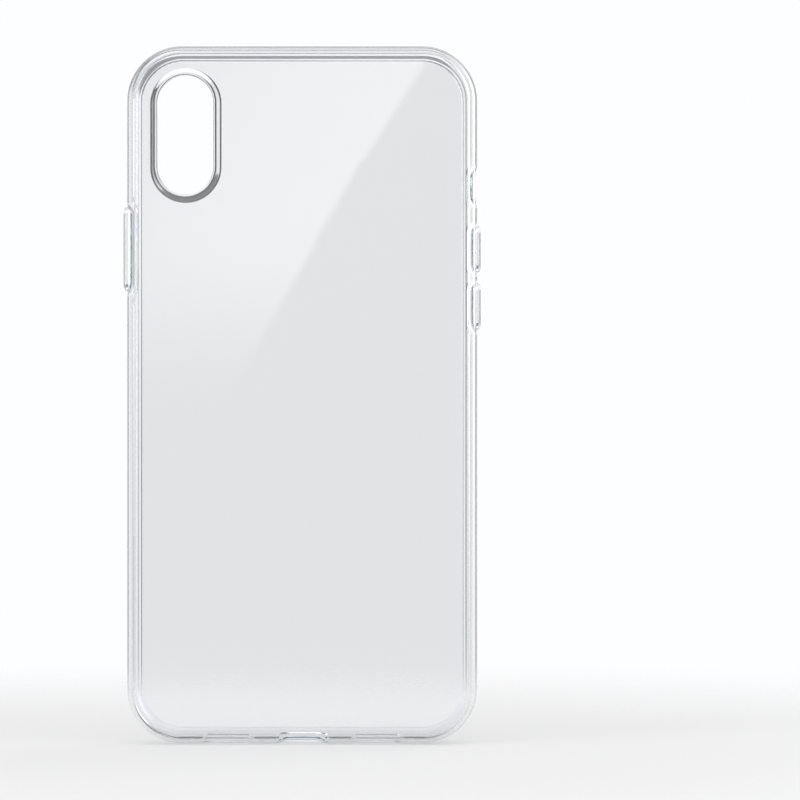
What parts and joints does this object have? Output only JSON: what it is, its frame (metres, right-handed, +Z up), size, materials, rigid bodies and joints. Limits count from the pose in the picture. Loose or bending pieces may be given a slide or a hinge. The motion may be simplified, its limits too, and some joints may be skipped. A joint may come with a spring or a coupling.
{
  "type": "phone case",
  "caption": "Clear flexible phone case with rounded edges, a raised screen lip, a guarded camera opening, raised side button covers and port openings.",
  "frame": {"origin": "centre of the phone pocket, which is the centre of the phone the case holds", "axes": "+Z up along the length of the phone, +Y out of the open screen side, -Y out of the back, +X to the right seen from the back"},
  "size_m": [0.0748, 0.0105, 0.146],
  "materials": {
    "clear_tpu": "clear glossy flexible thermoplastic polyurethane with fine dots inside the back"
  },
  "bodies": {
    "lower_shell": {"back_panel_lower": "clear_tpu", "left_wall_lower": "clear_tpu", "right_wall_lower": "clear_tpu", "bottom_wall": "clear_tpu", "corner_bottom_left": "clear_tpu", "corner_bottom_right": "clear_tpu", "screen_lip_lower": "clear_tpu"},
    "upper_shell": {"back_panel_upper": "clear_tpu", "left_wall_upper": "clear_tpu", "right_wall_upper": "clear_tpu", "top_wall": "clear_tpu", "corner_top_left": "clear_tpu", "corner_top_right": "clear_tpu", "screen_lip_upper": "clear_tpu", "camera_guard": "clear_tpu"},
    "power_key": {"power_button": "clear_tpu", "power_button_pusher": "clear_tpu"},
    "volume_up_key": {"volume_up_button": "clear_tpu", "volume_up_button_pusher": "clear_tpu"},
    "volume_down_key": {"volume_down_button": "clear_tpu", "volume_down_button_pusher": "clear_tpu"}
  },
  "joints": [
    {"name": "top_peel", "type": "hinge", "parent": "lower_shell", "child": "upper_shell", "pos_m": [0, -0.00885, -0.0095], "axis": [1, 0, 0], "range_deg": [0, 55], "stiffness_Nm_per_rad": 0.08},
    {"name": "power_press", "type": "slide", "parent": "upper_shell", "child": "power_key", "axis": [1, 0, 0], "range_m": [0, 0.0004], "stiffness_N_per_m": 3500},
    {"name": "volume_up_press", "type": "slide", "parent": "upper_shell", "child": "volume_up_key", "axis": [-1, 0, 0], "range_m": [0, 0.0004], "stiffness_N_per_m": 3500},
    {"name": "volume_down_press", "type": "slide", "parent": "upper_shell", "child": "volume_down_key", "axis": [-1, 0, 0], "range_m": [0, 0.0004], "stiffness_N_per_m": 3500}
  ]
}
